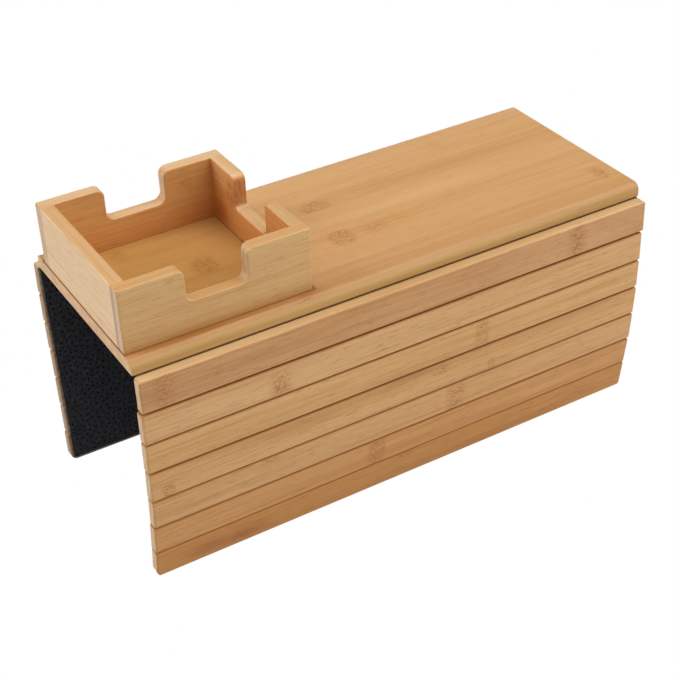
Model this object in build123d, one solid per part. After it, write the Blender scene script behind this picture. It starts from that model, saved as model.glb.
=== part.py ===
from build123d import *
import os
from math import sin, cos, radians

# Sofa arm tray. Millimetres.
# Origin: centre of the resting face (underside of the fabric under the board).
# +X runs along the tray, away from the cup box. +Y runs from the front flap to the back flap. +Z is up.

# ---- driving dimensions -------------------------------------------------------------------------
TRAY_L = 331.2          # board length
TRAY_W = 128.0          # board width
BOARD_T = 8.4           # board thickness
BOARD_SIDE_R = 5.0      # rounding of the board's two long upper edges
BOARD_FAR_R = 1.2       # easing of the far end, away from the cup box
BOARD_NEAR_R = 0.4      # easing of the end beside the cup box
BOARD_LOW_R = 0.4       # easing of the board's lower edges
BOARD_CORNER_R = 3.0    # upright corners of the board, on the back flap's side

FAB_T = 0.8             # fabric thickness
FAB_END = 1.8           # wood left bare beyond the fabric at each end of the tray
FAB_LOW = 1.8           # wood left bare below the fabric on the last slat
FAB_HINGE = 2.0         # fabric solid stops this far from the board's hinge line

SLAT_L = 331.0          # slat length
SLAT_T = 6.6            # slat thickness
SLAT_H = [20.25, 19.05, 18.65, 19.35, 19.25, 19.3, 19.3]    # slat heights, from the board downwards
SLAT_GAP = [0.9, 0.6, 0.9, 0.6, 0.5, 0.45]                  # gap below each slat but the last
SLAT_DROP = 0.45        # hinge line of the board to the upper edge of the first slat
SLAT_EDGE_R = 1.4       # long edges on the outer face
SLAT_BACK_R = 0.3       # long edges on the fabric side
SLAT_END_R = 1.3        # ends, on the outer face
FIRST_CORNER_R = 2.5    # upper corners of the first slat
LAST_CORNER_R = 4.5     # lower corners of the last slat
N_SLATS = len(SLAT_H)

# lean of each slat at rest, degrees from vertical, positive towards the space between the flaps
FRONT_LEAN = [-0.7, -0.4, 1.5, 3.8, 4.8, 7.5, 7.9]
BACK_LEAN = [-1.4, 0.5, 1.9, 2.4, 2.3, 2.1, 1.9]
# each slat sits a little off along the tray
FRONT_SHIFT = [0.3, -0.5, -0.6, -0.4, -0.2, -0.5, -0.4]
BACK_SHIFT = [-0.7, -0.5, -0.3, -0.1, -0.1, 0.0, -0.4]

BOX_X = 111.0           # cup box, outside, along the tray
BOX_Y = 108.0           # cup box, outside, across the tray
BOX_MARGIN = 8.5        # board left free in front of the cup box
BOX_LEDGE = 0.6         # board left free beyond the cup box at the near end
BOX_H = 37.8            # wall height above the board
WALL_T = 8.0            # wall thickness
WALL_TOP_R = 0.9        # easing of the walls' top and notch edges
WALL_CORNER_R = 1.0     # easing of the box's vertical corners
NOTCH_W = 36.0          # notch width
NOTCH_D = 20.0          # notch depth from the top of the wall
# rounded corners of the notches: top and bottom, on each side, in the wall's own frame
NOTCH_R = (4.5, 4.5, 5.0, 5.0)          # top -, top +, low -, low +
NOTCH_R_RIGHT = (2.2, 4.5, 5.0, 3.0)

SCREW_R = 1.45          # screw shank
SCREW_LEN = 20.0        # screw length with its head
SCREW_HEAD_R = 2.9      # countersunk head
SCREW_HEAD_H = 1.7
HOLE_R = 1.5            # hole in board and wall

# ---- derived heights ----------------------------------------------------------------------------
Z_FAB = FAB_T                      # top of fabric, bottom of board
Z_TOP = FAB_T + BOARD_T            # top of board
BOX_X0 = -TRAY_L / 2 + BOX_LEDGE
BOX_X1 = BOX_X0 + BOX_X
BOX_Y0 = -TRAY_W / 2 + BOX_MARGIN
BOX_Y1 = BOX_Y0 + BOX_Y
BOX_CX = (BOX_X0 + BOX_X1) / 2
BOX_CY = (BOX_Y0 + BOX_Y1) / 2
INNER_Y = BOX_Y - 2 * WALL_T

parts = {}


def edges_at(shape, axis, value, tol=1e-3):
    """Edges that lie wholly in the plane axis = value."""
    out = []
    for e in shape.edges():
        b = e.bounding_box()
        lo = getattr(b.min, axis)
        hi = getattr(b.max, axis)
        if abs(lo - value) < tol and abs(hi - value) < tol:
            out.append(e)
    return out


# ---- screws, from below into the walls ------------------------------------------------------------
SCREW_AT = [
    (BOX_X0 + 16, BOX_Y0 + WALL_T / 2), (BOX_X1 - 16, BOX_Y0 + WALL_T / 2),
    (BOX_X0 + 16, BOX_Y1 - WALL_T / 2), (BOX_X1 - 16, BOX_Y1 - WALL_T / 2),
    (BOX_X0 + WALL_T / 2, BOX_CY), (BOX_X1 - WALL_T / 2, BOX_CY),
]


def screw(x, y):
    z0 = Z_FAB + 0.05
    head = Pos(x, y, z0 + SCREW_HEAD_H / 2) * Cone(SCREW_HEAD_R, SCREW_R, SCREW_HEAD_H)
    shank_h = SCREW_LEN - SCREW_HEAD_H - 2.5
    shank = Pos(x, y, z0 + SCREW_HEAD_H + shank_h / 2) * Cylinder(SCREW_R, shank_h)
    tip = Pos(x, y, z0 + SCREW_HEAD_H + shank_h + 1.25) * Cone(SCREW_R, 0.2, 2.5)
    s = head + shank + tip
    # cross recess in the head
    s -= Pos(x, y, z0 + 0.45) * Box(3.2, 0.7, 0.9)
    s -= Pos(x, y, z0 + 0.45) * Box(0.7, 3.2, 0.9)
    return s


def screw_hole(x, y):
    """Countersunk hole through the board and on into the wall."""
    d = HOLE_R - SCREW_R
    cut = Pos(x, y, Z_FAB - 0.5 + (SCREW_LEN + 1) / 2) * Cylinder(HOLE_R, SCREW_LEN + 1)
    cs = Pos(x, y, Z_FAB - 0.05 + (SCREW_HEAD_H + 0.1) / 2) * Cone(SCREW_HEAD_R + 2 * d, HOLE_R, SCREW_HEAD_H + 0.1)
    return cut + cs


holes = [screw_hole(x, y) for x, y in SCREW_AT]

# ---- top board --------------------------------------------------------------------------------------
profile = make_face(Polyline((-TRAY_W / 2, 0), (TRAY_W / 2, 0), (TRAY_W / 2, BOARD_T), (-TRAY_W / 2, BOARD_T),
                             close=True))
profile = fillet([v for v in profile.vertices() if v.Y > BOARD_T / 2], BOARD_SIDE_R)
board = Pos(0, 0, Z_FAB) * extrude(Plane.YZ * profile, TRAY_L / 2, both=True)
for end, r in ((TRAY_L / 2, BOARD_FAR_R), (-TRAY_L / 2, BOARD_NEAR_R)):
    rim = [e for e in edges_at(board, "X", end) if e.center().Z > Z_FAB + 0.01]
    board = fillet(rim, r)
board = fillet(edges_at(board, "Z", Z_FAB), BOARD_LOW_R)
plan = make_face(Polyline((-TRAY_L / 2, -TRAY_W / 2), (TRAY_L / 2, -TRAY_W / 2), (TRAY_L / 2, TRAY_W / 2),
                          (-TRAY_L / 2, TRAY_W / 2), close=True))
plan = fillet([v for v in plan.vertices() if v.Y > 0], BOARD_CORNER_R)
board = board & (Pos(0, 0, -1) * extrude(plan, Z_TOP + 2))
for h in holes:
    board -= h
parts["top_board"] = board

# ---- cup box walls ----------------------------------------------------------------------------------
def wall(length, notch, ends_rounded):
    """A wall standing on z = 0, running along X, its thickness along Y, centred on the origin.
    notch: the four corner radii, or nothing. ends_rounded: which vertical edges are box corners, as (x sign, y sign)."""
    half = length / 2
    if notch:
        n = NOTCH_W / 2
        pts = [(-half, 0), (half, 0), (half, BOX_H), (n, BOX_H), (n, BOX_H - NOTCH_D),
               (-n, BOX_H - NOTCH_D), (-n, BOX_H), (-half, BOX_H)]
    else:
        pts = [(-half, 0), (half, 0), (half, BOX_H), (-half, BOX_H)]
    face = make_face(Polyline(*pts, close=True))
    if notch:
        spots = [(-n, BOX_H), (n, BOX_H), (-n, BOX_H - NOTCH_D), (n, BOX_H - NOTCH_D)]
        for (sx, sy), r in zip(spots, notch):
            face = fillet([v for v in face.vertices() if abs(v.X - sx) < 1e-3 and abs(v.Y - sy) < 1e-3], r)
    solid = extrude(Plane.XZ * face, WALL_T / 2, both=True)
    # box corners
    corner = [e for e in solid.edges().filter_by(Axis.Z)
              if any(abs(e.center().X - sx * half) < 1e-3 and abs(e.center().Y - sy * WALL_T / 2) < 1e-3
                     for sx, sy in ends_rounded)]
    if corner:
        solid = fillet(corner, WALL_CORNER_R)
    # top edge and notch edges on both faces
    easing = []
    for s in (-1, 1):
        for e in edges_at(solid, "Y", s * WALL_T / 2):
            b = e.bounding_box()
            if b.max.Z < 1e-3:
                continue
            if abs(b.min.X) > half - WALL_CORNER_R - 0.01 and abs(b.max.X) > half - WALL_CORNER_R - 0.01 \
                    and b.max.X - b.min.X < 1e-3:
                continue
            easing.append(e)
    solid = fillet(easing, WALL_TOP_R)
    # no easing where a side wall butts against this wall's inner face
    for sx, sy in ends_rounded:
        r = WALL_TOP_R
        bar = Pos(sx * (half - WALL_T / 2), -sy * (WALL_T / 2 - r / 2), BOX_H - r / 2) * Box(WALL_T - 2 * r, r, r)
        solid += bar
    return solid


def stand(solid, x, y, turn=0.0):
    return Pos(x, y, Z_TOP) * Rot(0, 0, turn) * solid


front = stand(wall(BOX_X, NOTCH_R, [(-1, -1), (1, -1)]), BOX_CX, BOX_Y0 + WALL_T / 2)
back = stand(wall(BOX_X, NOTCH_R, [(-1, 1), (1, 1)]), BOX_CX, BOX_Y1 - WALL_T / 2)
left = stand(wall(INNER_Y, None, []), BOX_X0 + WALL_T / 2, BOX_CY, 90)
right = stand(wall(INNER_Y, NOTCH_R_RIGHT, []), BOX_X1 - WALL_T / 2, BOX_CY, 90)
for h in holes:
    front -= h
    back -= h
    left -= h
    right -= h
parts["box_wall_front"] = front
parts["box_wall_back"] = back
parts["box_wall_left"] = left
parts["box_wall_right"] = right

screws = [screw(x, y) for x, y in SCREW_AT]
parts["box_screws"] = Compound(children=[s.solid() for s in screws])

# ---- fabric under the board --------------------------------------------------------------------------
HINGE_Y = TRAY_W / 2 - FAB_T / 2       # hinge line of each flap, from the tray's middle
HINGE_Z = FAB_T / 2                    # in the middle of the fabric's thickness
fab_w = 2 * (HINGE_Y - FAB_HINGE)
parts["fabric_top"] = Pos(0, 0, FAB_T / 2) * Box(TRAY_L - 2 * FAB_END, fab_w, FAB_T)


# ---- flaps -------------------------------------------------------------------------------------------
def above(k):
    """From a slat's hinge line to its upper edge."""
    return SLAT_DROP if k == 0 else SLAT_GAP[k - 1] / 2


def chain(lean):
    """Hinge lines of a flap as (y, z), for the front flap; the first is on the board."""
    y, z = -HINGE_Y, HINGE_Z
    pts = [(y, z)]
    for k, a in enumerate(lean):
        step = above(k) + SLAT_H[k] + (SLAT_GAP[k] / 2 if k < N_SLATS - 1 else 0.0)
        y += step * sin(radians(a))
        z -= step * cos(radians(a))
        pts.append((y, z))
    return pts


def slat(k):
    """Slat k in its own frame: hinge line at the origin, Y up, +Z outwards, X along the tray."""
    top = -above(k)
    low = top - SLAT_H[k]
    inner = FAB_T / 2
    outer = inner + SLAT_T
    section = make_face(Polyline((low, inner), (top, inner), (top, outer), (low, outer), close=True))
    section = fillet([v for v in section.vertices() if v.Y > inner + 1], SLAT_EDGE_R)
    section = fillet([v for v in section.vertices() if v.Y < inner + 1e-3], SLAT_BACK_R)
    s = extrude(Plane.YZ * section, SLAT_L / 2, both=True)
    for end in (-SLAT_L / 2, SLAT_L / 2):
        rim = [e for e in edges_at(s, "X", end) if e.center().Z > inner + SLAT_BACK_R + 0.01]
        s = fillet(rim, SLAT_END_R)
    if k in (0, N_SLATS - 1):
        outline = make_face(Polyline((-SLAT_L / 2, low), (SLAT_L / 2, low), (SLAT_L / 2, top), (-SLAT_L / 2, top),
                                     close=True))
        if k == 0:
            outline = fillet([v for v in outline.vertices() if v.Y > top - 1], FIRST_CORNER_R)
        else:
            outline = fillet([v for v in outline.vertices() if v.Y < top - 1], LAST_CORNER_R)
        s = s & extrude(outline, outer + 1)
    return s


def strip(k):
    """Fabric strip on the inner face of slat k, in the slat's frame."""
    top = -(FAB_HINGE if k == 0 else above(k))
    low = -(above(k) + SLAT_H[k])
    if k == N_SLATS - 1:
        low += FAB_LOW
    return Pos(0, (top + low) / 2, 0) * Box(TRAY_L - 2 * FAB_END, top - low, FAB_T)


def hang(solid, at, lean, shift):
    """Put a solid from a slat's frame on the front flap."""
    y, z = at
    a = radians(lean)
    frame = Plane(origin=(shift, y, z), x_dir=(1, 0, 0), z_dir=(0, -cos(a), -sin(a)))
    return frame.location * solid


def flap(name, lean, shift, mirrored):
    pts = chain(lean)
    for k in range(N_SLATS):
        wood = hang(slat(k), pts[k], lean[k], shift[k])
        cloth = hang(strip(k), pts[k], lean[k], shift[k])
        if mirrored:
            wood = mirror(wood, about=Plane.XZ)
            cloth = mirror(cloth, about=Plane.XZ)
        parts[f"{name}_slat_{k + 1}"] = wood
        parts[f"fabric_{name}_{k + 1}"] = cloth


flap("front", FRONT_LEAN, FRONT_SHIFT, False)
flap("back", BACK_LEAN, BACK_SHIFT, True)

# ---- write one STEP per node -------------------------------------------------------------------------
os.makedirs("parts", exist_ok=True)
for name, shape in parts.items():
    export_step(shape, f"parts/{name}.step")
    print(name, round(shape.volume, 1))
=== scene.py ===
import random
from math import sin, cos, radians, pi, sqrt, hypot

import bpy
import numpy as np
from mathutils import Matrix, Vector


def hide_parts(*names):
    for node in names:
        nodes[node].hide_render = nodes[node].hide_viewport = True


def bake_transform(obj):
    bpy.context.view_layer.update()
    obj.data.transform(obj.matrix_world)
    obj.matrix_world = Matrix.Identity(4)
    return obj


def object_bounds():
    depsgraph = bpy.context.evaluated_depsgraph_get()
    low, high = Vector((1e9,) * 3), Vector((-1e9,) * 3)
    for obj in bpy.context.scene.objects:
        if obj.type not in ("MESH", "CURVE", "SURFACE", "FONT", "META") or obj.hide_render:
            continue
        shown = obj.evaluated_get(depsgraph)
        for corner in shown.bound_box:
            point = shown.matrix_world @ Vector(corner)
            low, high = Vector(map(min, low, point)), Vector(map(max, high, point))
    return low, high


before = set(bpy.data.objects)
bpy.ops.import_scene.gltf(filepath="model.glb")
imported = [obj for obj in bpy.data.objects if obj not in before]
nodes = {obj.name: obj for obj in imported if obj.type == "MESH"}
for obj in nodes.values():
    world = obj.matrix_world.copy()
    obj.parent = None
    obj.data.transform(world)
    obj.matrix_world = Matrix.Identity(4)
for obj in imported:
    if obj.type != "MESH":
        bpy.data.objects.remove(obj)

# Sofa arm tray: bamboo board with a cup box, two flaps of seven slats, black anti-slip cloth under them.
# Lengths below are in millimetres unless a name says otherwise; MM turns them into metres.
MM = 0.001
scene = bpy.context.scene
cad_lo, cad_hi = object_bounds()

# ---- sizes, as in the CAD frame ---------------------------------------------------------------------
TRAY_L, TRAY_W, BOARD_T = 331.2, 128.0, 8.4
FAB_T, FAB_END, FAB_LOW = 0.8, 1.8, 1.8
N_SLATS, SLAT_L, SLAT_T, SLAT_DROP = 7, 331.0, 6.6, 0.45
SLAT_H = [20.25, 19.05, 18.65, 19.35, 19.25, 19.3, 19.3]
SLAT_GAP = [0.9, 0.6, 0.9, 0.6, 0.5, 0.45]
FRONT_LEAN = [-0.7, -0.4, 1.5, 3.8, 4.8, 7.5, 7.9]
BACK_LEAN = [-1.4, 0.5, 1.9, 2.4, 2.3, 2.1, 1.9]
FRONT_SHIFT = [0.3, -0.5, -0.6, -0.4, -0.2, -0.5, -0.4]
BACK_SHIFT = [-0.7, -0.5, -0.3, -0.1, -0.1, 0.0, -0.4]
Z_FAB, Z_TOP = 0.8, 9.2
BOX_X0, BOX_X1, BOX_Y0, BOX_Y1, BOX_H, WALL_T = -165.0, -54.0, -55.5, 52.5, 37.8, 8.0
WALL_Z1 = Z_TOP + BOX_H
HINGE_Y, HINGE_Z = 63.6, 0.4


def srgb(r, g, b):
    """Linear colour from 0-255 display values."""
    def one(c):
        c /= 255.0
        return c / 12.92 if c <= 0.04045 else ((c + 0.055) / 1.055) ** 2.4
    return (one(r), one(g), one(b), 1.0)


def times(c, k, kg=None, kb=None):
    return (c[0] * k, c[1] * (k if kg is None else kg), c[2] * (k if kb is None else kb), 1.0)


def above(k):
    """From a slat's hinge line to its upper edge."""
    return SLAT_DROP if k == 0 else SLAT_GAP[k - 1] / 2


# =====================================================================================================
# shader building
# =====================================================================================================
class Shade:
    def __init__(self, name):
        self.mat = bpy.data.materials.new(name)
        self.mat.use_nodes = True
        self.nt = self.mat.node_tree
        self.nt.nodes.clear()
        self.out = self.nt.nodes.new("ShaderNodeOutputMaterial")
        self.bsdf = self.nt.nodes.new("ShaderNodeBsdfPrincipled")
        self.nt.links.new(self.bsdf.outputs["BSDF"], self.out.inputs["Surface"])

    def put(self, socket, value):
        if isinstance(value, bpy.types.NodeSocket):
            self.nt.links.new(value, socket)
        else:
            socket.default_value = value

    def new(self, kind, **props):
        n = self.nt.nodes.new(kind)
        for k, v in props.items():
            setattr(n, k, v)
        return n

    def math(self, op, a, b=0.0, c=0.0, clamp=False):
        n = self.new("ShaderNodeMath", operation=op, use_clamp=clamp)
        for s, v in zip(n.inputs, (a, b, c)):
            self.put(s, v)
        return n.outputs[0]

    def add(self, a, b):
        return self.math("ADD", a, b)

    def sub(self, a, b):
        return self.math("SUBTRACT", a, b)

    def mul(self, a, b):
        return self.math("MULTIPLY", a, b)

    def mx(self, a, b):
        return self.math("MAXIMUM", a, b)

    def mn(self, a, b):
        return self.math("MINIMUM", a, b)

    def span(self, v, a, b, c=0.0, d=1.0, smooth=True):
        """v from a..b to c..d, clamped."""
        n = self.new("ShaderNodeMapRange", interpolation_type="SMOOTHSTEP" if smooth else "LINEAR")
        n.clamp = True
        for s, x in zip(n.inputs, (v, a, b, c, d)):
            self.put(s, x)
        return n.outputs[0]

    def vec(self, x, y, z):
        n = self.new("ShaderNodeCombineXYZ")
        for s, v in zip(n.inputs, (x, y, z)):
            self.put(s, v)
        return n.outputs[0]

    def dot(self, v, w):
        n = self.new("ShaderNodeVectorMath", operation="DOT_PRODUCT")
        self.put(n.inputs[0], v)
        self.put(n.inputs[1], w)
        return n.outputs["Value"]

    def noise(self, vec, scale=1.0, detail=2.0, rough=0.5, dist=0.0):
        n = self.new("ShaderNodeTexNoise", noise_dimensions="3D")
        self.put(n.inputs["Vector"], vec)
        self.put(n.inputs["Scale"], scale)
        self.put(n.inputs["Detail"], detail)
        self.put(n.inputs["Roughness"], rough)
        self.put(n.inputs["Distortion"], dist)
        return n.outputs["Fac"]

    def voronoi(self, vec, scale=1.0, rand=1.0, out="Distance"):
        n = self.new("ShaderNodeTexVoronoi", voronoi_dimensions="3D")
        self.put(n.inputs["Vector"], vec)
        self.put(n.inputs["Scale"], scale)
        self.put(n.inputs["Randomness"], rand)
        return n.outputs[out]

    def white(self, w):
        n = self.new("ShaderNodeTexWhiteNoise", noise_dimensions="1D")
        self.put(n.inputs["W"], w)
        return n.outputs["Value"]

    def mix(self, f, a, b, blend="MIX"):
        n = self.new("ShaderNodeMix", data_type="RGBA", blend_type=blend)
        n.clamp_factor = True
        self.put(n.inputs["Factor"], f)
        self.put(n.inputs["A"] if False else n.inputs[6], a)
        self.put(n.inputs[7], b)
        return n.outputs[2]

    def ramp(self, f, stops):
        n = self.new("ShaderNodeValToRGB")
        el = n.color_ramp.elements
        el[0].position, el[0].color = stops[0]
        el[1].position, el[1].color = stops[-1]
        for p, c in stops[1:-1]:
            e = el.new(p)
            e.color = c
        self.put(n.inputs[0], f)
        return n.outputs[0]

    def bump(self, height, distance, strength=1.0, normal=None):
        n = self.new("ShaderNodeBump")
        self.put(n.inputs["Strength"], strength)
        self.put(n.inputs["Distance"], distance)
        self.put(n.inputs["Height"], height)
        if normal is not None:
            self.put(n.inputs["Normal"], normal)
        return n.outputs[0]

    def coords(self):
        n = self.new("ShaderNodeTexCoord")
        return n.outputs["Object"], n.outputs["Normal"]


def bamboo(name, axes, origin, box, base, seed, marks=(), streak=0.30, blotch=0.5, fine=1.0, cut=None, end=None,
           edge=0.10, strips=None, seam=None, patches=(), shade=None, low=None, back=None, drift=0.0, rough=0.44, coat=0.12):
    """Clear-lacquered bamboo for one piece.
    axes: three unit vectors of the piece, along the grain, across it on the show face, and through it; origin in mm.
    box: the piece's extent along the three, in mm. base: colour of the show face. cut: colour of the long sawn sides.
    end: colour of end grain. marks: growth nodes as (u, v, half length, half height, strength) in mm, on the show face.
    strips: width in mm of the glued strips. seam: rectangle (x0, x1, y0, y1) in mm with a dark line round its foot,
    partly a glue line and partly painted contact shade, and painted shade inside it.
    patches: soft tints as (u, v, ru, rv, colour, strength). low: colour of the side that faces along +v, painted shade
    on the slats' downward side.
    back: colour of the face opposite the show face, darker partly as glue stain and partly as painted shade beside the
    cloth. drift: how much lighter the piece is at its +u end."""
    s = Shade(name)
    P, NRM = s.coords()
    U, V, W = axes
    o = Vector(origin) * MM
    u = s.sub(s.dot(P, U), Vector(U).dot(o))
    v = s.sub(s.dot(P, V), Vector(V).dot(o))
    w = s.sub(s.dot(P, W), Vector(W).dot(o))
    nu = s.math("ABSOLUTE", s.dot(NRM, U))
    nv = s.math("ABSOLUTE", s.dot(NRM, V))
    (u0, u1), (v0, v1), (w0, w1) = [(a * MM, b * MM) for a, b in box]

    rnd = random.Random(seed)
    du, dv, dw = (rnd.uniform(-3, 3) for _ in range(3))

    # distance to the nearest edge of the piece
    a = s.mn(s.sub(u, u0), s.sub(u1, u))
    b = s.mn(s.sub(v, v0), s.sub(v1, v))
    c = s.mn(s.sub(w, w0), s.sub(w1, w))
    near = s.mx(s.mn(a, b), s.mn(s.mx(a, b), c))

    # strips of the board, each with its own tone and its own run of grain
    vs = v
    tone = 0.0
    line = None
    if strips:
        wob = s.mul(s.sub(s.noise(s.vec(s.mul(u, 6.0), dv, dw), 1.0, 2.0), 0.5), 0.0009)
        q = s.math("DIVIDE", s.add(s.add(v, wob), strips[1] * MM), strips[0] * MM)
        cell = s.math("FLOOR", q)
        tone = s.white(s.add(cell, rnd.uniform(0, 50)))
        f = s.math("FRACT", q)
        line = s.span(s.mn(f, s.sub(1.0, f)), 0.0, 0.022, 1.0, 0.0)
        du_cell = s.mul(s.white(s.add(cell, 77.3)), 9.0)
    else:
        du_cell = 0.0

    # growth nodes: the grain swells round them
    mark_sum = None
    for mu, mv, ru, rv, st in marks:
        x = s.math("DIVIDE", s.sub(u, mu * MM), ru * MM)
        y = s.math("DIVIDE", s.sub(v, mv * MM), rv * MM)
        r2 = s.add(s.math("POWER", s.math("ABSOLUTE", x), 3.0), s.math("POWER", s.math("ABSOLUTE", y), 4.0))
        g = s.mul(s.math("EXPONENT", s.mul(r2, -1.0)), st)
        mark_sum = g if mark_sum is None else s.mx(mark_sum, g)
    uu = s.add(s.add(u, du), du_cell)
    if mark_sum is not None:
        kink = s.mul(s.mul(s.sub(s.noise(s.vec(s.mul(u, 260.0), s.mul(v, 260.0), dw), 1.0, 2.0), 0.5), mark_sum), 0.004)
        vs = s.add(v, kink)

    def grain(ku, kv, detail, rough_, dist=0.0, off=0.0):
        return s.noise(s.vec(s.mul(uu, ku), s.add(s.mul(vs, kv), dv + off), s.add(s.mul(w, kv), dw - off)), 1.0, detail, rough_, dist)

    big = grain(5.0, 24.0, 2.0, 0.5, off=1.0)              # slow tone drift
    band = grain(3.4, 130.0, 3.0, 0.5, 0.25, off=2.0)      # long streaks, some millimetres wide
    thin = grain(9.0, 420.0, 3.0, 0.55, 0.15, off=6.0)     # finer streaks
    hair = grain(20.0, 1150.0, 3.0, 0.6, off=3.0)          # hair lines
    fib = grain(70.0, 3300.0, 2.0, 0.55, off=4.0)          # single fibres
    dash = grain(95.0, 1900.0, 1.0, 0.5, off=5.0)          # short dark vessels

    dark = times(base, 0.74, 0.61, 0.45)
    light = times(base, 1.10, 1.15, 1.26)
    amber = times(base, 0.95, 0.86, 0.64)

    col = s.mix(s.mul(s.span(big, 0.44, 0.70), blotch * 0.60), base, amber)
    col = s.mix(s.mul(s.span(big, 0.54, 0.30), blotch * 0.50), col, light)
    if strips:
        col = s.mix(s.mul(s.span(tone, 0.5, 1.0, smooth=False), strips[2]), col, times(base, 0.92, 0.86, 0.74))
        col = s.mix(s.mul(s.span(tone, 0.5, 0.0, smooth=False), strips[2]), col, times(base, 1.05, 1.08, 1.13))
        col = s.mix(s.mul(line, strips[3]), col, times(base, 0.62, 0.48, 0.33))
    for pu, pv, ru, rv, pc, st in patches:
        x = s.math("DIVIDE", s.sub(u, pu * MM), ru * MM)
        y = s.math("DIVIDE", s.sub(s.add(v, s.mul(s.sub(band, 0.5), 0.006)), pv * MM), rv * MM)
        g = s.mul(s.math("EXPONENT", s.mul(s.add(s.mul(x, x), s.mul(y, y)), -1.0)), st)
        col = s.mix(g, col, pc)
    col = s.mix(s.mul(s.span(band, 0.50, 0.74), streak), col, dark)
    col = s.mix(s.mul(s.span(band, 0.48, 0.26), streak * 0.8), col, light)
    col = s.mix(s.mul(s.span(thin, 0.50, 0.74), 0.34 * fine), col, dark)
    col = s.mix(s.mul(s.span(thin, 0.48, 0.26), 0.28 * fine), col, light)
    col = s.mix(s.mul(s.span(hair, 0.50, 0.76), 0.46 * fine), col, dark)
    col = s.mix(s.mul(s.span(hair, 0.48, 0.24), 0.40 * fine), col, light)
    col = s.mix(s.mul(s.span(fib, 0.50, 0.78), 0.40 * fine), col, dark)
    col = s.mix(s.mul(s.span(dash, 0.64, 0.74), 0.50 * fine), col, times(base, 0.58, 0.43, 0.28))
    if drift:
        t = s.span(u, u0, u1, 1.0 - drift, 1.0 + drift, smooth=False)
        col = s.mix(1.0, col, s.vec(t, t, t), blend="MULTIPLY")

    bump_h = s.add(s.add(s.mul(hair, 0.5), s.mul(fib, 0.5)), s.mul(dash, 0.25))

    if mark_sum is not None:
        # growth node: a tinted band crossed by small dark dashes, with a few pale flecks
        fleck = s.noise(s.vec(s.mul(u, 430.0), s.mul(vs, 1050.0), s.add(s.mul(w, 700.0), dv)), 1.0, 2.0, 0.6, 0.9)
        curl = s.noise(s.vec(s.mul(u, 520.0), s.mul(v, 620.0), s.add(s.mul(w, 520.0), dv + 3.0)), 1.0, 2.0, 0.6, 1.6)
        curl = s.span(s.math("ABSOLUTE", s.sub(curl, 0.5)), 0.05, 0.0)
        core = s.span(mark_sum, 0.10, 0.62)
        halo = s.span(mark_sum, 0.0, 0.35)
        col = s.mix(s.mul(halo, 0.20), col, times(base, 0.88, 0.76, 0.58))
        col = s.mix(s.mul(s.mul(s.span(fleck, 0.53, 0.61), core), 0.84), col, times(base, 0.58, 0.38, 0.21))
        col = s.mix(s.mul(s.mul(s.span(fleck, 0.42, 0.30), core), 0.50), col, times(base, 1.12, 1.16, 1.24))
        col = s.mix(s.mul(s.mul(curl, core), 0.50), col, times(base, 0.56, 0.37, 0.22))
        bump_h = s.add(bump_h, s.mul(s.mul(s.span(fleck, 0.5, 0.7), core), -0.9))

    # long sawn sides and end grain
    if cut is not None:
        side = s.span(nv, 0.62, 0.93)
        cc = s.mix(s.span(band, 0.42, 0.72), cut, times(cut, 0.86, 0.76, 0.62))
        cc = s.mix(s.mul(s.span(hair, 0.44, 0.74), 0.55), cc, times(cut, 0.80, 0.68, 0.54))
        cc = s.mix(s.mul(s.span(fib, 0.50, 0.76), 0.45), cc, times(cut, 0.76, 0.62, 0.46))
        col = s.mix(side, col, cc)
    # painted shade: the side facing along +v, the underside of a slat, takes the darker low colour
    if low is not None:
        col = s.mix(s.mul(s.span(s.dot(NRM, V), 0.22, 0.80), 0.75), col, low)
    # partly painted shade: the back face beside the cloth is a darker brown-grey, and the noise adds glue stains
    if back is not None:
        stain = s.noise(s.vec(s.mul(u, 300.0), s.mul(v, 300.0), 0.0), 1.0, 3.0, 0.65)
        bc = s.mix(s.span(stain, 0.35, 0.65), back, times(back, 0.62, 0.52, 0.42))
        col = s.mix(s.span(s.dot(NRM, W), -0.55, -0.85), col, bc)
    if end is not None:
        cap = s.span(nu, 0.70, 0.95)
        cell = s.voronoi(s.vec(s.mul(u, 40.0), s.mul(v, 1500.0), s.mul(w, 1500.0)), 1.0, 1.0)
        rings = s.noise(s.vec(dv, s.mul(v, 120.0), s.mul(w, 420.0)), 1.0, 3.0, 0.6)
        ec = s.mix(s.span(rings, 0.35, 0.7), end, times(end, 0.80, 0.70, 0.58))
        ec = s.mix(s.mul(s.span(cell, 0.30, 0.14), 0.5), ec, times(end, 0.50, 0.38, 0.28))
        col = s.mix(cap, col, ec)
        bump_h = s.add(bump_h, s.mul(s.mul(s.span(cell, 0.32, 0.12), cap), -1.0))

    # worn edges: slightly paler where the lacquer is thin, with a broken outline
    rub = s.noise(s.vec(s.mul(u, 60.0), s.mul(v, 240.0), s.mul(w, 240.0)), 1.0, 3.0, 0.6)
    worn = s.mul(s.span(near, 0.0013, 0.0002), s.span(rub, 0.30, 0.65))
    col = s.mix(s.mul(worn, edge), col, times(base, 1.18, 1.26, 1.42))
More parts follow.
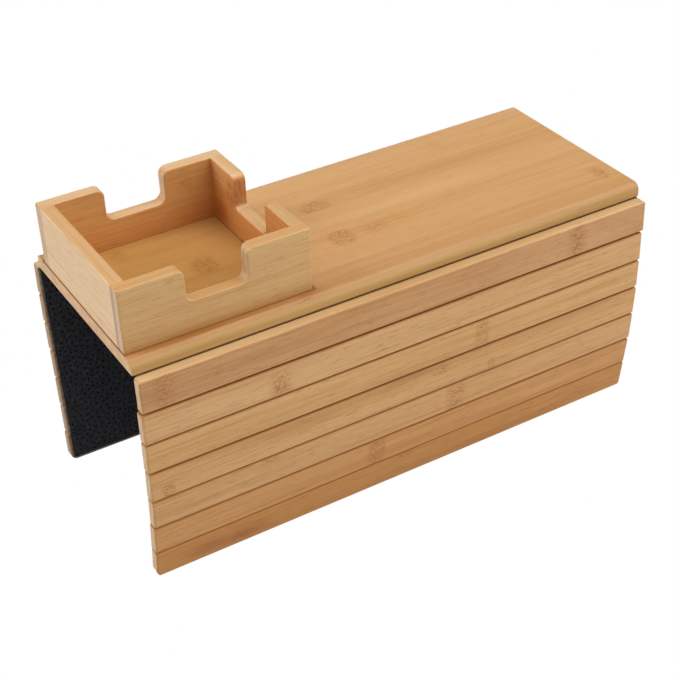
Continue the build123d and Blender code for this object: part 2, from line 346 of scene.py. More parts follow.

    # dark line round the foot of the cup box: partly a glue line with dust, partly painted contact shade
    if seam is not None:
        sep = s.new("ShaderNodeSeparateXYZ")
        s.put(sep.inputs[0], P)
        x, y, z = sep.outputs
        x0, x1, y0, y1 = [k * MM for k in seam]
        dx = s.mx(s.mx(s.sub(x0, x), s.sub(x, x1)), 0.0)
        dy = s.mx(s.mx(s.sub(y0, y), s.sub(y, y1)), 0.0)
        out = s.math("SQRT", s.add(s.mul(dx, dx), s.mul(dy, dy)))
        deep = s.mn(s.mn(s.sub(x, x0), s.sub(x1, x)), s.mn(s.sub(y, y0), s.sub(y1, y)))
        out = s.mx(out, deep)
        ix = s.mn(s.sub(x, x0 + WALL_T * MM), s.sub(x1 - WALL_T * MM, x))
        iy = s.mn(s.sub(y, y0 + WALL_T * MM), s.sub(y1 - WALL_T * MM, y))
        inn = s.math("ABSOLUTE", s.mn(ix, iy))
        uneven = s.noise(s.vec(s.mul(x, 90.0), s.mul(y, 90.0), 0.0), 1.0, 3.0, 0.6)
        g = s.span(s.mn(s.mul(out, 0.42), inn), s.add(0.0007, s.mul(uneven, 0.0010)), 0.0003)
        g = s.mul(g, s.span(z, (Z_TOP - 0.8) * MM, (Z_TOP - 0.1) * MM))
        # painted shade: the board inside the cup box is made darker and more orange, as shade and bounce light there
        painted_box_shade = s.span(s.mn(ix, iy), -0.001, 0.0004)
        col = s.mix(painted_box_shade, col, s.vec(0.80, 0.71, 0.46), blend="MULTIPLY")
        col = s.mix(s.mul(g, 0.86), col, times(base, 0.46, 0.24, 0.11))

    if shade is not None:
        col = shade(s, col, dict(P=P, N=NRM, u=u, v=v, w=w, nu=nu, nv=nv, near=near, hair=hair, fib=fib, band=band))
        if isinstance(col, tuple):
            col, extra = col
            bump_h = s.add(bump_h, extra)

    s.put(s.bsdf.inputs["Base Color"], col)
    r = s.add(s.mul(s.sub(hair, 0.5), 0.22), s.mul(s.sub(big, 0.5), 0.12))
    s.put(s.bsdf.inputs["Roughness"], s.math("ADD", s.sub(r, s.mul(worn, -0.08)), rough, clamp=True))
    s.put(s.bsdf.inputs["Specular IOR Level"], 0.38)
    s.put(s.bsdf.inputs["Coat Weight"], coat)
    s.put(s.bsdf.inputs["Coat Roughness"], 0.32)
    s.put(s.bsdf.inputs["Normal"], s.bump(bump_h, 0.00007))
    return s.mat


def wear_material(obj, mat):
    obj.data.materials.clear()
    obj.data.materials.append(mat)


# =====================================================================================================
# bamboo pieces: the CAD nodes, each with its own timber
# =====================================================================================================
X, Y, Z = (1, 0, 0), (0, 1, 0), (0, 0, 1)
top_base = srgb(201, 156, 106)


def corner_strip(s, col, c):
    """End grain of the front wall beside the left wall: greyer at the joint, and pale towards the rounded corner as a
    painted highlight where the corner catches the light.
    """
    t = s.add(c["w"], s.mul(s.sub(c["hair"], 0.5), 0.0006))
    cap = s.mul(s.span(c["nu"], 0.70, 0.95), s.span(c["u"], -0.158, -0.163))
    col = s.mix(s.mul(s.mul(s.span(t, -0.0512, -0.0500), cap), 0.85), col, srgb(186, 146, 122))
    return s.mix(s.mul(s.mul(s.span(t, -0.0506, -0.0522), cap), 0.75), col, srgb(220, 185, 143))


def right_top(s, col, c):
    """Deeper tone on the sawn edge from the notch forwards."""
    f = s.mul(s.span(c["u"], 0.020, 0.013), s.span(c["nv"], 0.62, 0.93))
    return s.mix(f, col, (0.84, 0.75, 0.62, 1.0), blend="MULTIPLY")


wear_material(nodes["top_board"], bamboo(
    "board_timber", (X, Y, Z), (0, 0, 0), ((-165.6, 165.6), (-64, 64), (0.8, Z_TOP)), top_base, 11,
    marks=[(-13.5, -18.5, 7, 7.5, 1.0), (9.0, -19.5, 9, 5, 0.40), (-9.0, 20.5, 10, 6, 0.66), (154.0, -40.0, 4, 8, 0.7),
           (-62.1, -60.8, 6, 3.0, 0.8), (-92.2, -1.0, 7.0, 8.5, 1.0), (-128, 33, 6, 8, 0.4), (92, 46, 6, 6, 0.25)],
    streak=0.16, fine=0.85, cut=srgb(202, 163, 104), end=srgb(229, 188, 138), strips=(20.5, 11.5, 0.30, 0.12),
    seam=(BOX_X0, BOX_X1, BOX_Y0, BOX_Y1),
    patches=[(0, -56, 400, 9, srgb(190, 141, 89), 0.75), (0, 60, 400, 10, srgb(206, 164, 119), 0.8),
             # the dark amber strip at (-120, -59) along the front wall's foot is partly painted shade; the dark brown
             # spot at (-60, -59) by the box's front-right corner is a painted contact shadow
             (-120, -59.0, 60, 3.2, srgb(150, 94, 22), 0.95), (0, -61.6, 400, 2.0, srgb(178, 128, 66), 0.6),
             (-60, -59, 8, 3, srgb(160, 88, 38), 0.6), (15, -19, 34, 9, srgb(196, 141, 84), 0.45),
             (70, 21, 95, 5, srgb(178, 126, 80), 0.42), (60, -46, 120, 2.0, srgb(170, 120, 74), 0.36),
             (100, -12, 60, 3.0, srgb(180, 130, 82), 0.36), (40, 2, 70, 7, srgb(214, 172, 122), 0.40)]))

wear_material(nodes["box_wall_front"], bamboo(
    "wall_front_timber", (X, Z, Y), (0, 0, 0), ((-165, -54), (Z_TOP, WALL_Z1), (-55.5, -47.5)), srgb(209, 165, 108), 21,
    marks=[(-136, 42.5, 4, 2.5, 0.35)], streak=0.30, fine=1.25, blotch=0.4, cut=srgb(206, 160, 108),
    end=srgb(216, 182, 146), drift=0.03, shade=corner_strip,
    # painted light and shade: the front wall is lighter along its top and darker, more orange along its foot
    patches=[(-110, 46, 300, 9, srgb(217, 177, 122), 0.7), (-110, 9, 300, 5, srgb(192, 142, 80), 0.65)]))
wear_material(nodes["box_wall_back"], bamboo(
    "wall_back_timber", (X, Z, Y), (0, 0, 0), ((-165, -54), (Z_TOP, WALL_Z1), (44.5, 52.5)), srgb(209, 155, 94), 22,
    marks=[(-78, 36, 5, 4, 0.35)], streak=0.42, fine=1.2, cut=srgb(217, 180, 139), end=srgb(216, 182, 146),
    # painted shade: the back wall is darker and more orange towards its foot, most near the box's back-right corner
    patches=[(-110, 12, 300, 9, srgb(203, 133, 70), 0.75), (-70, 10, 16, 10, srgb(196, 112, 54), 0.5)]))
wear_material(nodes["box_wall_left"], bamboo(
    "wall_left_timber", (Y, Z, X), (0, 0, 0), ((-47.5, 44.5), (Z_TOP, WALL_Z1), (-165, -157)), srgb(238, 201, 154), 23,
    streak=0.30, fine=1.3, blotch=0.35, cut=srgb(209, 166, 118), end=srgb(198, 166, 132)))
wear_material(nodes["box_wall_right"], bamboo(
    "wall_right_timber", (Y, Z, X), (0, 0, 0), ((-47.5, 44.5), (Z_TOP, WALL_Z1), (-62, -54)), srgb(222, 156, 91), 24,
    marks=[(21, 34, 4, 9, 0.8), (22, 21, 3, 5, 0.4)], streak=0.5, fine=1.2, cut=srgb(220, 186, 146), end=srgb(196, 132, 76), shade=right_top,
    # painted light and shade: the right wall is darker low towards the back corner of the box and lighter above it
    patches=[(34, 16, 9, 14, srgb(172, 84, 32), 0.75), (31, 41, 11, 9, srgb(232, 184, 126), 0.8),
             (17, 28, 3.5, 3, srgb(196, 164, 142), 0.8)]))


def chain(lean):
    y, z = -HINGE_Y, HINGE_Z
    pts = [(y, z)]
    for k, a in enumerate(lean):
        step = above(k) + SLAT_H[k] + (SLAT_GAP[k] / 2 if k < N_SLATS - 1 else 0.0)
        y += step * sin(radians(a))
        z -= step * cos(radians(a))
        pts.append((y, z))
    return pts


def slat_axes(lean, side):
    """Down the slat and out of its show face, for the front (-1) or back (+1) flap."""
    a = radians(lean)
    return Vector((0, -side * sin(a), -cos(a))), Vector((0, side * cos(a), -sin(a)))


SLAT_TONE = {
    "front": [srgb(203, 152, 100), srgb(216, 169, 113), srgb(216, 168, 108), srgb(215, 165, 105),
              srgb(214, 164, 107), srgb(209, 153, 90), srgb(200, 140, 72)],
    "back": [srgb(210, 164, 112), srgb(204, 156, 104), srgb(213, 169, 117), srgb(207, 160, 108),
             srgb(201, 152, 99), srgb(210, 166, 114), srgb(205, 157, 105)],
}
# growth nodes and tints of the front slats: along the slat, down from its hinge line, half length, half height, strength
FRONT_MARKS = [
    [(-151.5, 10, 6.5, 12, 0.60), (114.5, 10, 6.5, 12, 0.60)],
    [(-84.5, 12, 7, 10, 0.55)],
    [(48.5, 10, 5, 12, 0.70)],
    [(-155.0, 15, 4, 5, 0.85), (57.0, 14.9, 3.2, 4, 0.7), (20.6, 5.0, 6, 3.5, 0.6)],
    [(-93.5, 2.0, 6, 3.0, 0.6), (31.5, 10, 6.0, 12, 0.85)],
    [(-22.5, 10, 5.6, 12, 1.0), (133, 8, 8, 5, 0.25)],
    [(-112.0, 12, 7, 4, 0.7), (-2.0, 1.5, 6, 3.0, 0.6)],
]
FRONT_TINTS = [
    [(-158, 10, 10, 12, srgb(184, 126, 82), 0.45), (110, 13, 5, 5, srgb(206, 158, 92), 0.5)],
    [(-84, 15, 6, 5, srgb(188, 126, 84), 0.5)],
    [],
    [(-80, 4, 50, 5, srgb(202, 146, 84), 0.65), (-2, 3, 20, 3.0, srgb(176, 116, 70), 0.7), (120, 2, 60, 3, srgb(188, 130, 86), 0.5),
     (-60, 15, 90, 4, srgb(222, 178, 128), 0.45)],
    [(-95, 14, 60, 3, srgb(216, 172, 122), 0.35)],
    [],
    [(-134, 11, 13, 4, srgb(160, 88, 38), 0.75), (-110, 12, 14, 4, srgb(160, 88, 38), 0.85), (60, 16, 90, 4, srgb(178, 118, 58), 0.5)],
]
for flap, lean, shift, side in (("front", FRONT_LEAN, FRONT_SHIFT, -1), ("back", BACK_LEAN, BACK_SHIFT, 1)):
    pts = chain(lean)
    for k in range(N_SLATS):
        D, N = slat_axes(lean[k], side)
        y, z = pts[k]
        top = above(k)
        rnd = random.Random(500 + k)
        marks = FRONT_MARKS[k] if flap == "front" else [
            (rnd.uniform(-150, 150), rnd.uniform(8, 12), 6, 12, rnd.uniform(0.4, 0.9)) for _ in range(rnd.choice((1, 1, 2)))]
        tints = FRONT_TINTS[k] if flap == "front" else [
            (rnd.uniform(-120, 120), rnd.uniform(3, 16), 60, 4, times(SLAT_TONE[flap][k], 0.86, 0.74, 0.58), 0.45)]
        base = SLAT_TONE[flap][k]
        # strength of the painted groove shade on each slat's upper edge; none on slat 1
        under = (0.0, 1.0, 0.85, 0.72, 0.85, 0.75, 0.50)[k]

        def painted_groove_shade(s, col, c, top=top, under=under):
            """Painted shade in the groove: the rounded upper edge is browner."""
            f = s.mul(s.span(c["v"], (top + 1.35) * MM, (top + 0.20) * MM), under)
            return s.mix(f, col, (0.70, 0.56, 0.40, 1.0), blend="MULTIPLY")

        wear_material(nodes[f"{flap}_slat_{k + 1}"], bamboo(
            f"{flap}_slat_timber_{k + 1}", (X, tuple(D), tuple(N)), (shift[k], -side * y if side == 1 else y, z),
            ((-SLAT_L / 2, SLAT_L / 2), (top, top + SLAT_H[k]), (FAB_T / 2, FAB_T / 2 + SLAT_T)), base,
            100 + 10 * k + (side + 1) * 50, marks=marks, streak=0.42, blotch=0.7, fine=1.7, drift=0.075,
            # painted highlight: slat 1's upper side is much paler than its face, where the light from above falls on it
            cut=times(base, 1.05, 1.30, 1.55) if k == 0 else times(base, 0.98, 1.0, 0.98),
            # painted shade: the slat's underside takes the darker low colour; the back face beside the cloth is darker
            # brown-grey, partly glue stain and partly painted shade
            low=times(base, 0.80, 0.56, 0.30), back=srgb(152, 128, 110),
            end=srgb(226, 192, 148) if flap == "front" else srgb(180, 150, 113), shade=painted_groove_shade, patches=tints))


def steel():
    s = Shade("zinc_plated_steel")
    P, _ = s.coords()
    n = s.noise(P, 900.0, 4.0, 0.6)
    m = s.noise(P, 120.0, 3.0, 0.6)
    col = s.mix(s.span(m, 0.35, 0.7), srgb(196, 194, 186), srgb(150, 150, 146))
    col = s.mix(s.mul(s.span(n, 0.55, 0.8), 0.4), col, srgb(108, 104, 96))
    s.put(s.bsdf.inputs["Base Color"], col)
    s.bsdf.inputs["Metallic"].default_value = 1.0
    s.put(s.bsdf.inputs["Roughness"], s.span(n, 0.2, 0.8, 0.28, 0.5))
    s.put(s.bsdf.inputs["Normal"], s.bump(n, 0.00004))
    return s.mat


wear_material(nodes["box_screws"], steel())

# =====================================================================================================
# anti-slip cloth: one continuous run over both flaps, cut at the middle of each slat so that each piece bends
# across one hinge line only. Every point has a place (x, s) on the flat cloth, s from the tray's middle line.
# =====================================================================================================
CLOTH_OUT, CLOTH_IN = 0.38, -0.17      # wood side and open side, from the hinge line, in the slat's own frame
DOT_R, DOT_H = 0.78, 0.22
BEND_R = 0.52
CLOTH_X = TRAY_L / 2 - FAB_END


class Run:
    """Cloth run of one flap: distance s from the tray's middle line to (y, z), normal towards the wood, and x shift."""

    def __init__(self, lean, shift, side):
        pts = chain(lean)
        S, P, Nn, Sh, hinge_s, mid_s = [], [], [], [], [], []
        cy, cz = -HINGE_Y + BEND_R, HINGE_Z - BEND_R
        s = 0.0
        flat = HINGE_Y - BEND_R
        for t in [0.0] + list(np.linspace(0.02, 1.0, 16)):
            S.append(t * flat)
            P.append((-t * flat, HINGE_Z))
            Nn.append((0.0, 1.0))
            Sh.append(shift[0] * min(1.0, max(0.0, t * 1.2 - 0.2)))
        s = flat
        arc = BEND_R * pi / 2
        for t in np.linspace(0, 1, 9)[1:]:
            a = t * pi / 2
            S.append(s + t * arc)
            P.append((cy - BEND_R * sin(a), cz + BEND_R * cos(a)))
            Nn.append((-sin(a), cos(a)))
            Sh.append(shift[0])
        hinge_s.append(s + arc / 2)
        s += arc
        v_done = BEND_R
        for k in range(N_SLATS):
            a = radians(lean[k])
            D, N = (sin(a), -cos(a)), (-cos(a), -sin(a))
            y, z = pts[k]
            top = above(k)
            end = top + SLAT_H[k] + SLAT_GAP[k] / 2 if k < N_SLATS - 1 else top + SLAT_H[k] - FAB_LOW
            mid = top + SLAT_H[k] / 2
            vs = [v_done + 0.35, v_done + 0.8, v_done + 1.6, v_done + 4.0, mid - 3.0, mid, mid + 3.0]
            vs += [end - 4.0, end - 1.6, end - 0.8, end - 0.35] if k < N_SLATS - 1 else [end - 4.0, end - 1.0, end]
            for v in vs:
                S.append(s + v - v_done)
                P.append((y + D[0] * v, z + D[1] * v))
                Nn.append(N)
                nxt = shift[min(k + 1, N_SLATS - 1)]
                prv = shift[max(k - 1, 0)]
                f = (v - mid) / SLAT_H[k]
                Sh.append(shift[k] + (f * (nxt - shift[k]) if f > 0 else -f * (prv - shift[k])) * 0.9)
                if abs(v - mid) < 1e-9:
                    mid_s.append(S[-1])
            if k < N_SLATS - 1:
                s += end - v_done
                a2 = radians((lean[k] + lean[k + 1]) / 2)
                S.append(s)
                P.append(pts[k + 1])
                Nn.append((-cos(a2), -sin(a2)))
                Sh.append((shift[k] + shift[k + 1]) / 2)
                hinge_s.append(s)
                v_done = 0.0
            else:
                s += end - v_done
        self.S, self.P, self.N, self.Sh = np.array(S), np.array(P), np.array(Nn), np.array(Sh)
        self.hinge_s, self.mid_s, self.end_s, self.side = hinge_s, mid_s, s, side

    def at(self, x, s, w):
        """Point of the row frame, in metres, w mm towards the wood from the hinge line."""
        y, z = np.interp(s, self.S, self.P[:, 0]), np.interp(s, self.S, self.P[:, 1])
        ny, nz = np.interp(s, self.S, self.N[:, 0]), np.interp(s, self.S, self.N[:, 1])
        L = hypot(ny, nz)
        sh = np.interp(s, self.S, self.Sh)
        py, pz = y + ny / L * w, z + nz / L * w
        return ((x + sh) * MM, (py if self.side < 0 else -py) * MM, pz * MM)


def mesh_object(name, verts, faces, smooth=True):
    me = bpy.data.meshes.new(name)
    me.from_pydata(verts, [], faces)
    me.validate()
    me.update()
    ob = bpy.data.objects.new(name, me)
    scene.collection.objects.link(ob)
    if smooth:
        me.polygons.foreach_set("use_smooth", [True] * len(me.polygons))
    return ob


def give_flat(ob, flat):
    """Coordinates on the flat cloth, in metres, as a point attribute."""
    at = ob.data.attributes.new("flat_cloth", "FLOAT_VECTOR", "POINT")
    at.data.foreach_set("vector", np.array(flat, np.float32).ravel())


def cloth_piece(name, run, s0, s1, seed):
    """Closed thin slab from s0 to s1."""
    rows = [s0] + [float(q) for q in run.S if s0 + 1e-6 < q < s1 - 1e-6] + [s1]
    dense = [rows[0]]
    for q in rows[1:]:
        gap = q - dense[-1]
        n = max(1, int(gap / 3.5))
        for i in range(1, n + 1):
            dense.append(dense[-1] + gap / n if i < n else q)
    rows = dense
    cols = np.linspace(-CLOTH_X, CLOTH_X, 62)
    rnd = random.Random(seed)
    ph = [rnd.uniform(0, 6.28) for _ in range(4)]
    sgn = run.side
    verts, flat = [], []
    nc = len(cols)
    for layer, w in ((0, CLOTH_IN), (1, CLOTH_OUT)):
        for s in rows:
            fray = 0.10 * sin(s * 1.9) + 0.07 * sin(s * 4.3 + 1.0) + 0.05 * sin(s * 0.7)
            for j, x in enumerate(cols):
                xx = x + (fray if j == 0 else (0.8 * fray if j == nc - 1 else 0.0))
                verts.append(run.at(xx, s, w))
                flat.append((xx * MM, s * MM * sgn, w * MM))
    nr = len(rows)
    def idx(layer, i, j):
        return layer * nr * nc + i * nc + j
    faces = []
    flip = run.side > 0
    def quad(a, b, c, d):
        faces.append((a, b, c, d) if not flip else (d, c, b, a))
    for i in range(nr - 1):
        for j in range(nc - 1):
            quad(idx(0, i, j), idx(0, i, j + 1), idx(0, i + 1, j + 1), idx(0, i + 1, j))
            quad(idx(1, i, j), idx(1, i + 1, j), idx(1, i + 1, j + 1), idx(1, i, j + 1))
        quad(idx(0, i, 0), idx(0, i + 1, 0), idx(1, i + 1, 0), idx(1, i, 0))
        quad(idx(0, i + 1, nc - 1), idx(0, i, nc - 1), idx(1, i, nc - 1), idx(1, i + 1, nc - 1))
    for j in range(nc - 1):
        quad(idx(0, 0, j + 1), idx(0, 0, j), idx(1, 0, j), idx(1, 0, j + 1))
        quad(idx(0, nr - 1, j), idx(0, nr - 1, j + 1), idx(1, nr - 1, j + 1), idx(1, nr - 1, j))
    ob = mesh_object(name, verts, faces)
    me = ob.data
    # rims stay crisp
    layer_of = lambda vi: vi // (nr * nc)
    sharp = []
    for e in me.edges:
        a, b = e.vertices
        la, lb = layer_of(a), layer_of(b)
        ia, ja = divmod(a % (nr * nc), nc)
        ib, jb = divmod(b % (nr * nc), nc)
        rim = (ja == jb and ja in (0, nc - 1)) or (ia == ib and ia in (0, nr - 1))
        sharp.append(bool(rim))
    me.attributes.new("sharp_edge", "BOOLEAN", "EDGE").data.foreach_set("value", sharp)
    give_flat(ob, flat)
    # planar map for baking: open side below, wood side above, rims folded into the margins
    uv = me.uv_layers.new(name="OFBake")
    L = max(s1 - s0, 1e-6)
    arr = np.zeros((len(me.loops), 2), np.float32)
    for p in me.polygons:
        ls = [layer_of(v) for v in p.vertices]
        kind = 0 if all(q == 0 for q in ls) else (1 if all(q == 1 for q in ls) else 2)
        for li, vi in zip(p.loop_indices, p.vertices):
            i, j = divmod(vi % (nr * nc), nc)
            fx = (cols[j] + CLOTH_X) / (2 * CLOTH_X)
            fs = (rows[i] - s0) / L
            if kind == 0:
                arr[li] = (0.03 + 0.94 * fx, 0.04 + 0.42 * fs)
            elif kind == 1:
                arr[li] = (0.03 + 0.94 * fx, 0.54 + 0.42 * fs)
            else:
                lay = layer_of(vi)
                js = [(q % (nr * nc)) % nc for q in p.vertices]
                if all(q == 0 for q in js):
                    arr[li] = (0.004 + 0.016 * lay, 0.04 + 0.92 * fs)
                elif all(q == nc - 1 for q in js):
                    arr[li] = (0.980 + 0.016 * lay, 0.04 + 0.92 * fs)
                elif i == 0:
                    arr[li] = (0.03 + 0.94 * fx, 0.004 + 0.012 * lay)
                else:
                    arr[li] = (0.03 + 0.94 * fx, 0.984 + 0.012 * lay)
    uv.data.foreach_set("uv", arr.ravel())
    return ob


def dot_places(y_lo, y_hi):
    """Grip dots on the flat cloth: rings round centres on a staggered grid, thinned where rings meet."""
    rnd = random.Random(4242)
    pitch = 33.0
    kept = {}
    cell = 2.55

    def near(x, y):
        cx, cy = int(x // cell), int(y // cell)
        for i in (-1, 0, 1):
            for j in (-1, 0, 1):
                for a, b in kept.get((cx + i, cy + j), ()):
                    if (a - x) ** 2 + (b - y) ** 2 < cell * cell:
                        return True
        return False

    rings = [(0.0, 1), (3.4, 8), (6.9, 12), (10.6, 17), (14.4, 23), (18.2, 29)]
    rows = int((y_hi - y_lo) / (pitch * 0.866)) + 4
    centres = []
    for r in range(-rows // 2 - 1, rows // 2 + 2):
        for c in range(-8, 9):
            centres.append(((c + (0.5 if r % 2 else 0.0)) * pitch + 7.0, r * pitch * 0.866 + 11.0))
    out = []
    for radius, n in rings:
        for cx, cy in centres:
            ph = rnd.uniform(0, 2 * pi)
            for i in range(n):
                a = ph + 2 * pi * i / n
                x, y = cx + radius * cos(a), cy + radius * sin(a)
                if radius > 4:
                    x += rnd.uniform(-0.35, 0.35)
                    y += rnd.uniform(-0.35, 0.35)
                if abs(x) > CLOTH_X - 1.3 or not y_lo + 1.2 < y < y_hi - 1.2 or near(x, y):
                    continue
                kept.setdefault((int(x // cell), int(y // cell)), []).append((x, y))
                out.append((x, y, rnd.uniform(0.86, 1.12)))
    return out


def dots_piece(name, run, places, s0, s1):
    """Low domes on the open side of the cloth."""
    verts, faces, flat = [], [], []
    n = 8
    for x, y, k in places:
        s = y * run.side
        base = len(verts)
        r = DOT_R * k
        for rr, hh in ((1.0, -0.03), (0.80, 0.62), (0.42, 0.93)):
            for i in range(n):
                a = 2 * pi * (i + 0.5 * (rr < 0.9)) / n
                dx, ds = r * rr * cos(a), r * rr * sin(a)
                verts.append(run.at(x + dx, s + ds, CLOTH_IN - DOT_H * hh))
                flat.append(((x + dx) * MM, (s + ds) * MM * run.side, -hh * MM))
        verts.append(run.at(x, s, CLOTH_IN - DOT_H))
        flat.append((x * MM, s * MM * run.side, -MM))
        flip = run.side > 0
        for lev in range(2):
            for i in range(n):
                a, b = base + lev * n + i, base + lev * n + (i + 1) % n
                c, d = base + (lev + 1) * n + i, base + (lev + 1) * n + (i + 1) % n
                f = (a, b, d, c)
                faces.append(f if not flip else f[::-1])
        for i in range(n):
            f = (base + 2 * n + i, base + 2 * n + (i + 1) % n, base + 3 * n)
            faces.append(f if not flip else f[::-1])
    ob = mesh_object(name, verts, faces)
    give_flat(ob, flat)
    me = ob.data
    uv = me.uv_layers.new(name="OFBake")
    fl = np.array(flat)
    lo, hi = fl.min(0), fl.max(0)
    vi = np.zeros(len(me.loops), int)
    me.loops.foreach_get("vertex_index", vi)
    arr = np.zeros((len(me.loops), 2), np.float32)
    arr[:, 0] = 0.01 + 0.98 * (fl[vi, 0] - lo[0]) / (hi[0] - lo[0])
    arr[:, 1] = 0.01 + 0.98 * (fl[vi, 1] - lo[1]) / (hi[1] - lo[1])
    uv.data.foreach_set("uv", arr.ravel())
    return ob


def felt(name):
    """Black needled cloth: matted fibres, pale lint, a slight bloom."""
    s = Shade(name)
    at = s.new("ShaderNodeAttribute", attribute_name="flat_cloth", attribute_type="GEOMETRY")
    F = at.outputs["Vector"]
    mat_ = s.noise(F, 2600.0, 4.0, 0.7, 1.2)
    tuft = s.noise(F, 700.0, 3.0, 0.6, 0.8)
    cloud = s.noise(F, 60.0, 3.0, 0.6)
    thread = s.noise(F, 1500.0, 2.0, 0.5, 3.5)
    thread = s.span(s.math("ABSOLUTE", s.sub(thread, 0.5)), 0.022, 0.0)
    clot = s.noise(F, 430.0, 2.0, 0.6, 0.6)
    col = s.mix(s.span(mat_, 0.32, 0.70), srgb(30, 31, 35), srgb(74, 74, 79))
    col = s.mix(s.mul(s.span(tuft, 0.47, 0.72), 0.75), col, srgb(14, 14, 16))
    col = s.mix(s.mul(s.span(clot, 0.50, 0.70), 0.75), col, srgb(80, 80, 87))
    col = s.mix(s.mul(s.span(cloud, 0.40, 0.75), 0.30), col, srgb(44, 43, 46))
    col = s.mix(s.mul(thread, 0.40), col, srgb(98, 97, 102))
    # wood dust in the fold between board and first slat
    sep = s.new("ShaderNodeSeparateXYZ")
    s.put(sep.inputs[0], F)
    fold = s.math("ABSOLUTE", s.sub(s.math("ABSOLUTE", sep.outputs[1]), 0.0636))
    col = s.mix(s.mul(s.span(fold, 0.0030, 0.0010), s.span(cloud, 0.20, 0.60, 0.45, 0.85)), col, srgb(108, 84, 54))
    s.put(s.bsdf.inputs["Base Color"], col)
    s.put(s.bsdf.inputs["Roughness"], s.span(mat_, 0.3, 0.8, 0.86, 0.97))
    s.put(s.bsdf.inputs["Specular IOR Level"], 0.18)
    s.put(s.bsdf.inputs["Sheen Weight"], 0.03)
    s.put(s.bsdf.inputs["Sheen Roughness"], 0.5)
    h = s.add(s.add(s.mul(mat_, 0.6), s.mul(tuft, 0.9)), s.mul(thread, 0.5))
    s.put(s.bsdf.inputs["Normal"], s.bump(h, 0.00016))
    return s.mat


def grip(name):
    """Soft black rubber dots with a dull skin."""
    s = Shade(name)
    at = s.new("ShaderNodeAttribute", attribute_name="flat_cloth", attribute_type="GEOMETRY")
    F = at.outputs["Vector"]
    n = s.noise(F, 1400.0, 3.0, 0.6)
    m = s.noise(F, 90.0, 2.0, 0.5)
    col = s.mix(s.span(n, 0.35, 0.7), srgb(4, 4, 5), srgb(10, 10, 11))
    col = s.mix(s.mul(s.span(m, 0.5, 0.8), 0.4), col, srgb(16, 16, 17))
    s.put(s.bsdf.inputs["Base Color"], col)
    s.put(s.bsdf.inputs["Roughness"], s.span(n, 0.3, 0.8, 0.55, 0.72))
    s.put(s.bsdf.inputs["Specular IOR Level"], 0.16)
    s.put(s.bsdf.inputs["Normal"], s.bump(n, 0.00003))
    return s.mat


felt_mat, grip_mat = felt("needled_cloth"), grip("grip_rubber")
runs = {"front": Run(FRONT_LEAN, FRONT_SHIFT, -1), "back": Run(BACK_LEAN, BACK_SHIFT, 1)}
places = dot_places(-runs["front"].end_s, runs["back"].end_s)

for flap, run in runs.items():
    cuts = [0.0] + run.mid_s[:-1] + [run.end_s]
    # piece k crosses hinge k; it ends at the middle of slat k
    cuts = [0.0] + [run.mid_s[k] for k in range(N_SLATS - 1)] + [run.end_s]
    for k in range(N_SLATS):
        s0, s1 = cuts[k], cuts[k + 1]
        h = run.hinge_s[k]
        if k == 0:
            start, end = Vector(run.at(0, h - 1.3, 0)), Vector(run.at(0, h + 1.3, 0))
        else:
            start, end = Vector(run.at(0, h - 1.1, 0)), Vector(run.at(0, h + 1.1, 0))
        start.x = end.x = 0.0
        piece = cloth_piece(f"cloth_{flap}_{k + 1}", run, s0, s1, 900 + k)
        piece.data.materials.append(felt_mat)
        here = [p for p in places if s0 <= p[1] * run.side < s1]
        dots = dots_piece(f"grip_dots_{flap}_{k + 1}", run, here, s0, s1)
        dots.data.materials.append(grip_mat)
        for o in (piece, dots):
            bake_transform(o)
        stands = [f"fabric_{flap}_{k + 1}"] + (["fabric_top"] if k == 0 else [])
        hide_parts(*stands)

# =====================================================================================================
# studio
# =====================================================================================================
FLOOR_Z = cad_lo.z - 0.0002


def studio_floor():
    half = 6.0
    n = 24
    verts, faces = [], []
    for i in range(n + 1):
        for j in range(n + 1):
            verts.append((-half + 2 * half * i / n, -half + 2 * half * j / n, FLOOR_Z))
    for i in range(n):
        for j in range(n):
            a = i * (n + 1) + j
            faces.append((a, a + n + 1, a + n + 2, a + 1))
    ob = mesh_object("studio_floor", verts, faces, smooth=False)
    s = Shade("studio_paper")
    P, _ = s.coords()
    n1 = s.noise(P, 3.0, 2.0, 0.5)
    col = s.mix(s.span(n1, 0.3, 0.7), (0.30, 0.30, 0.30, 1), (0.32, 0.32, 0.318, 1))
    s.put(s.bsdf.inputs["Base Color"], col)
    s.bsdf.inputs["Roughness"].default_value = 0.9
    s.bsdf.inputs["Specular IOR Level"].default_value = 0.1
    s.bsdf.inputs["Emission Color"].default_value = (1, 1, 1, 1)
    s.bsdf.inputs["Emission Strength"].default_value = 0.34
    # burnt-out paper: it is pure white to the eye and throws less light back than that
    glow = s.new("ShaderNodeEmission")
    glow.inputs["Strength"].default_value = 1.0
    path = s.new("ShaderNodeLightPath")
    pick = s.new("ShaderNodeMixShader")
    s.put(pick.inputs[0], path.outputs["Is Camera Ray"])
    s.put(pick.inputs[1], s.bsdf.outputs["BSDF"])
    s.put(pick.inputs[2], glow.outputs[0])
    s.put(s.out.inputs["Surface"], pick.outputs[0])
    ob.data.materials.append(s.mat)
    return ob


studio_floor()

world = bpy.data.worlds.new("studio_dome")
scene.world = world
world.use_nodes = True
wt = world.node_tree
wt.nodes.clear()
wo = wt.nodes.new("ShaderNodeOutputWorld")
bg = wt.nodes.new("ShaderNodeBackground")
see = wt.nodes.new("ShaderNodeBackground")
see.inputs["Color"].default_value = (1, 1, 1, 1)
see.inputs["Strength"].default_value = 1.0
lp = wt.nodes.new("ShaderNodeLightPath")
mixw = wt.nodes.new("ShaderNodeMixShader")
tc = wt.nodes.new("ShaderNodeTexCoord")
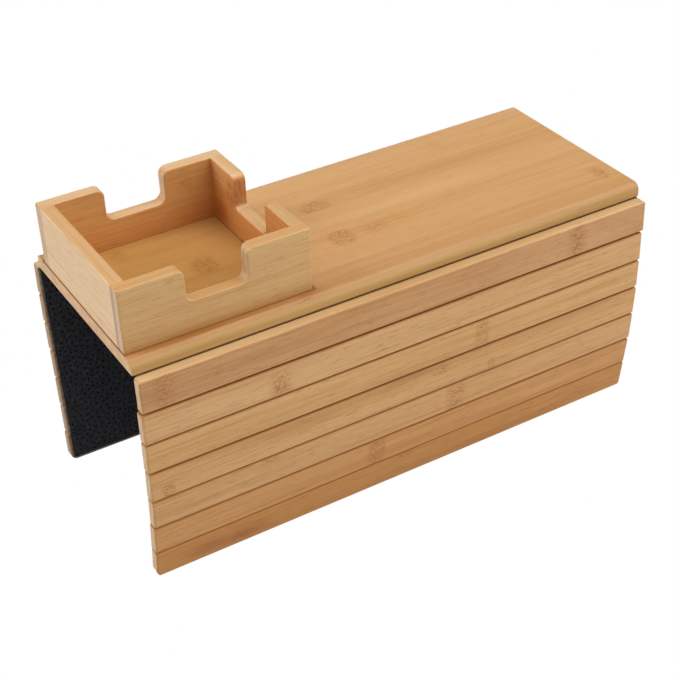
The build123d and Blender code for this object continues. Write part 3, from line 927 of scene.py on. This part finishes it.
# soft lights as wide lobes of the dome: direction, strength
LOBES = [((0.0, 0.0, 1.0), 2.88), ((0.497, -0.287, 0.819), 1.94), ((0.0, -0.906, 0.423), 1.14),
         ((-0.785, 0.453, 0.423), 3.15), ((0.785, -0.453, 0.423), 1.81)]
total = None
for way, strength in LOBES:
    vd = wt.nodes.new("ShaderNodeVectorMath")
    vd.operation = "DOT_PRODUCT"
    vd.inputs[1].default_value = tuple(Vector(way).normalized())
    mr = wt.nodes.new("ShaderNodeMapRange")
    mr.interpolation_type = "SMOOTHSTEP"
    for sck, val in zip(mr.inputs[1:5], (0.84, 0.98, 0.0, strength)):
        sck.default_value = val
    wt.links.new(tc.outputs["Generated"], vd.inputs[0])
    wt.links.new(vd.outputs["Value"], mr.inputs[0])
    if total is None:
        total = mr.outputs[0]
    else:
        ad = wt.nodes.new("ShaderNodeMath")
        ad.operation = "ADD"
        wt.links.new(total, ad.inputs[0])
        wt.links.new(mr.outputs[0], ad.inputs[1])
        total = ad.outputs[0]
fill = wt.nodes.new("ShaderNodeMath")
fill.operation = "ADD"
fill.inputs[1].default_value = 0.03
wt.links.new(total, fill.inputs[0])
wt.links.new(fill.outputs[0], bg.inputs["Strength"])
bg.inputs["Color"].default_value = (1.0, 0.995, 0.985, 1)
wt.links.new(lp.outputs["Is Camera Ray"], mixw.inputs[0])
wt.links.new(bg.outputs[0], mixw.inputs[1])
wt.links.new(see.outputs[0], mixw.inputs[2])
wt.links.new(mixw.outputs[0], wo.inputs["Surface"])


scene.view_settings.view_transform = "Standard"
scene.view_settings.look = "None"
scene.view_settings.exposure = 0.0
scene.view_settings.gamma = 1.0

# ---- camera ----------------------------------------------------------------------------------------
AZ, EL, ROLL = radians(29.7837), radians(34.7509), radians(-2.1949)
cam_at = Vector((-380.045, -652.1522, 446.5614)) * MM
fwd = Vector((sin(AZ) * cos(EL), cos(AZ) * cos(EL), -sin(EL)))
right0 = Vector((cos(AZ), -sin(AZ), 0.0))
up0 = Vector((sin(AZ) * sin(EL), cos(AZ) * sin(EL), cos(EL)))
right = right0 * cos(ROLL) + up0 * sin(ROLL)
up = -right0 * sin(ROLL) + up0 * cos(ROLL)
cam = bpy.data.cameras.new("studio_camera")
cam.sensor_fit = "HORIZONTAL"
cam.sensor_width = 36.0
cam.lens = 1502.8364 / 680.0 * 36.0
cam.clip_start, cam.clip_end = 0.05, 40.0
cam.dof.use_dof = False
cam_ob = bpy.data.objects.new("studio_camera", cam)
scene.collection.objects.link(cam_ob)
m = Matrix((right, up, -fwd)).transposed().to_4x4()
m.translation = cam_at
cam_ob.matrix_world = m
scene.camera = cam_ob

bpy.context.view_layer.update()
